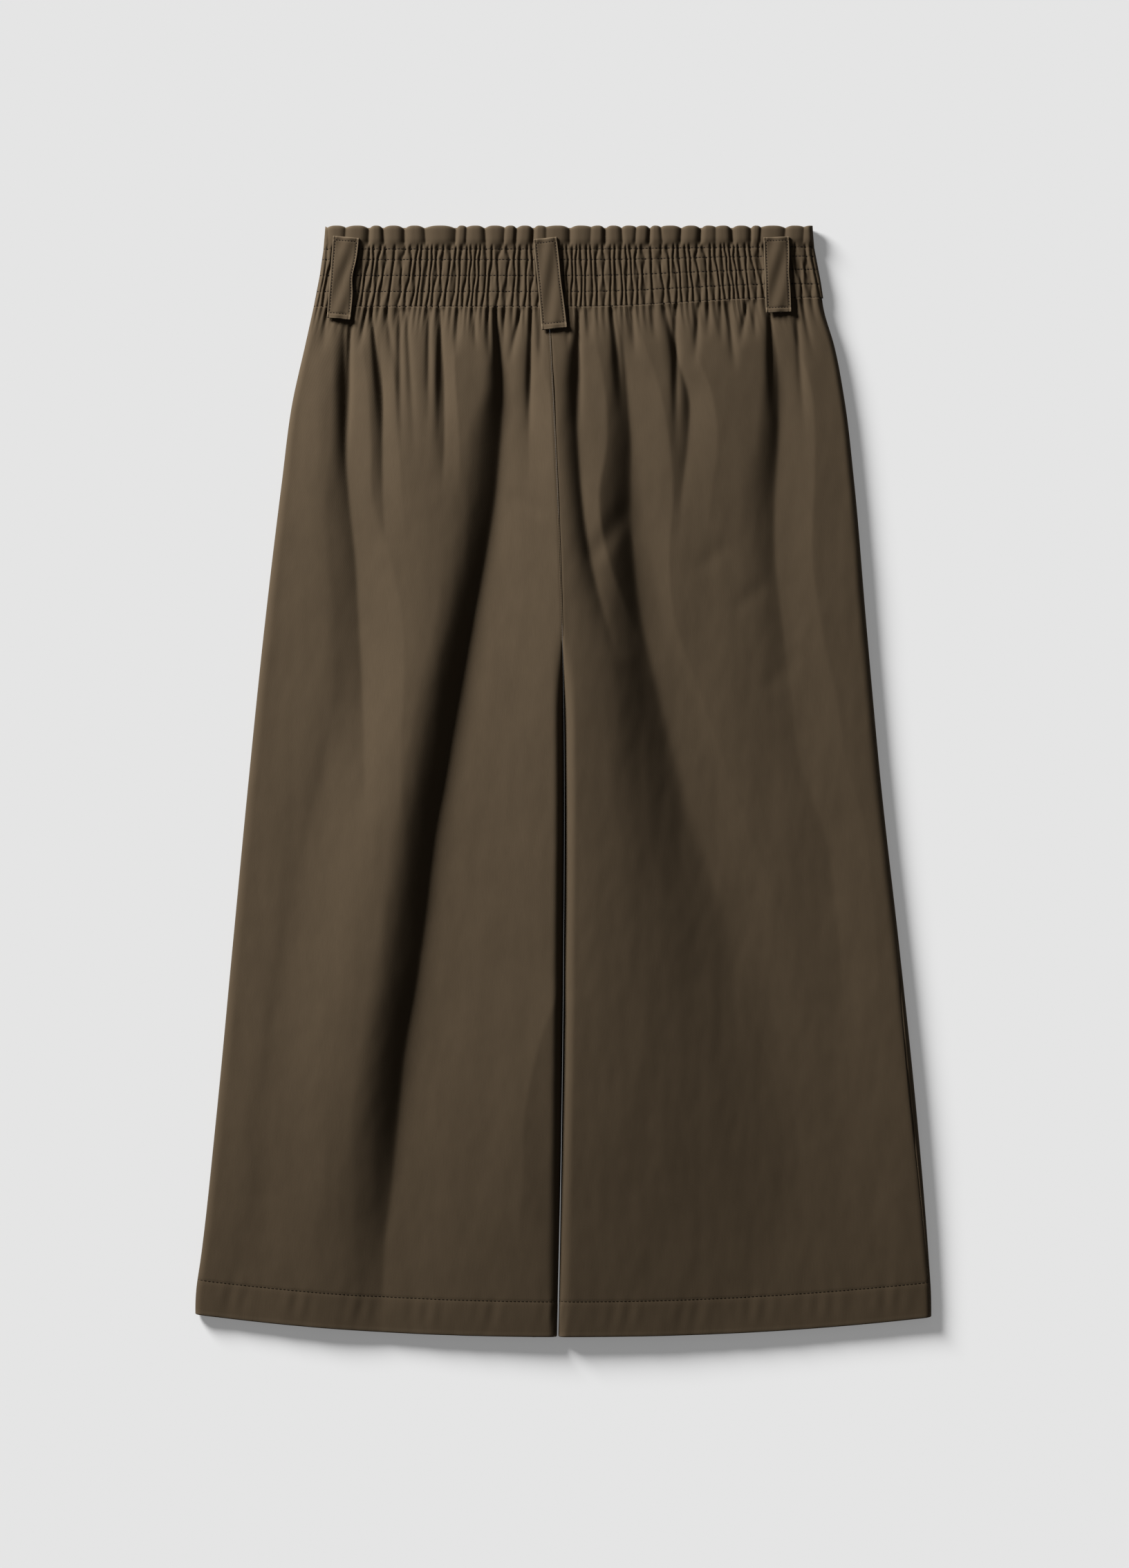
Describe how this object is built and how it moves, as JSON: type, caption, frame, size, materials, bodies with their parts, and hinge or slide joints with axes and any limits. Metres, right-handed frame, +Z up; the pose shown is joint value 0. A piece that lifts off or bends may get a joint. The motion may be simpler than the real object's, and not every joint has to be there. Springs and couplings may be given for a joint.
{
  "type": "wide-leg cropped trousers laid flat",
  "caption": "Wide-leg cropped trousers in plain cotton twill with a shirred elastic paperbag waist and belt loops, laid flat back side up.",
  "frame": {"origin": "middle of the garment's outline on the surface it lies on", "axes": "+X to the right seen from above, +Y from the hems to the waist, +Z up out of the surface"},
  "size_m": [0.5178, 0.7797, 0.0234],
  "materials": {
    "twill": "matte brushed cotton twill, olive brown"
  },
  "bodies": {
    "root": {"back_left_leg": "twill", "back_right_leg": "twill", "front_left_leg": "twill", "front_right_leg": "twill", "waist_back": "twill", "waist_front": "twill", "belt_loop_left": "twill", "belt_loop_centre": "twill", "belt_loop_right": "twill"}
  },
  "joints": []
}
